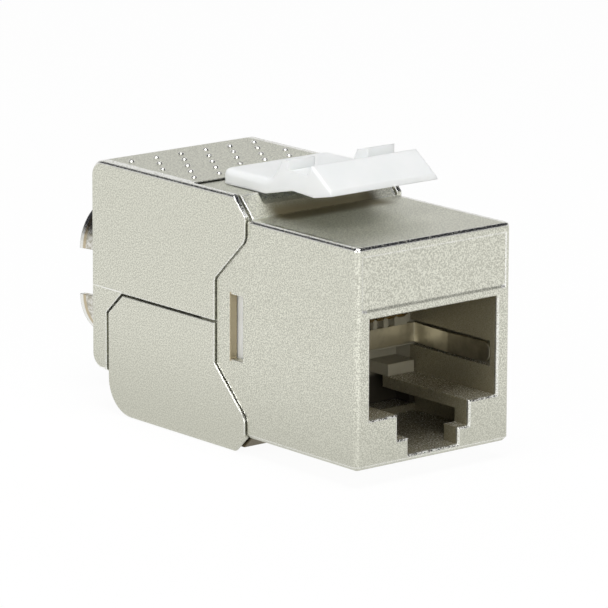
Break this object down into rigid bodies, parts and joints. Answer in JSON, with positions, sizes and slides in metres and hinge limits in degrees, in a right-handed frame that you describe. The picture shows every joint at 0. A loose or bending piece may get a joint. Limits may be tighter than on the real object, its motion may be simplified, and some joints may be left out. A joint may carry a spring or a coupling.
{
  "type": "keystone jack",
  "caption": "Shielded tool-free keystone jack: die-cast nose with a plug port and snap latch, hinged rear wings that press conductors onto blades, and cable clamp jaws.",
  "frame": {"origin": "under the middle of the jack's length and width, on the surface the lower wing rests on", "axes": "+Y from the plug port towards the cable, +Z towards the latch, +X across"},
  "size_m": [0.0148, 0.0368, 0.0218],
  "materials": {
    "nickel_casting": "satin nickel on zinc die casting, shot-blasted grain",
    "plated_strip": "bright nickel on stamped strip",
    "latch_plastic": "moulded white plastic, slightly glossy",
    "white_plastic": "moulded white plastic",
    "dark_plastic": "moulded dark plastic",
    "spring_bronze": "rolled spring strip",
    "gold_contact": "gold-plated spring wire",
    "tinned_blade": "tin-plated bronze blade",
    "board": "green solder mask"
  },
  "bodies": {
    "front_body": {"front_body": "nickel_casting", "shield_band": "spring_bronze", "contact_carrier": "dark_plastic", "contact_1": "gold_contact", "contact_2": "gold_contact", "contact_3": "gold_contact", "contact_4": "gold_contact", "contact_5": "gold_contact", "contact_6": "gold_contact", "contact_7": "gold_contact", "contact_8": "gold_contact", "circuit_board": "board", "idc_block": "white_plastic", "idc_blade_1": "tinned_blade", "idc_blade_2": "tinned_blade", "idc_blade_3": "tinned_blade", "idc_blade_4": "tinned_blade", "idc_blade_5": "tinned_blade", "idc_blade_6": "tinned_blade", "idc_blade_7": "tinned_blade", "idc_blade_8": "tinned_blade", "wire_manager": "white_plastic"},
    "latch": {"latch": "latch_plastic"},
    "upper_wing": {"upper_wing": "nickel_casting", "upper_cable_clamp": "plated_strip"},
    "lower_wing": {"lower_wing": "nickel_casting", "lower_cable_clamp": "plated_strip"}
  },
  "joints": [
    {"name": "upper_wing_hinge", "type": "hinge", "parent": "front_body", "child": "upper_wing", "pos_m": [0, -0.00475, 0.0172], "axis": [1, 0, 0], "range_deg": [0, 60]},
    {"name": "lower_wing_hinge", "type": "hinge", "parent": "front_body", "child": "lower_wing", "pos_m": [0, -0.00475, 0.00145], "axis": [1, 0, 0], "range_deg": [-60, 0]},
    {"name": "latch_flex", "type": "hinge", "parent": "front_body", "child": "latch", "pos_m": [0, -0.0014, 0.01899], "axis": [1, 0, 0], "range_deg": [0, 8], "stiffness_Nm_per_rad": 0.4}
  ],
  "couplings": [
    {"joint": "lower_wing_hinge", "follows": "upper_wing_hinge", "ratio": -1}
  ]
}
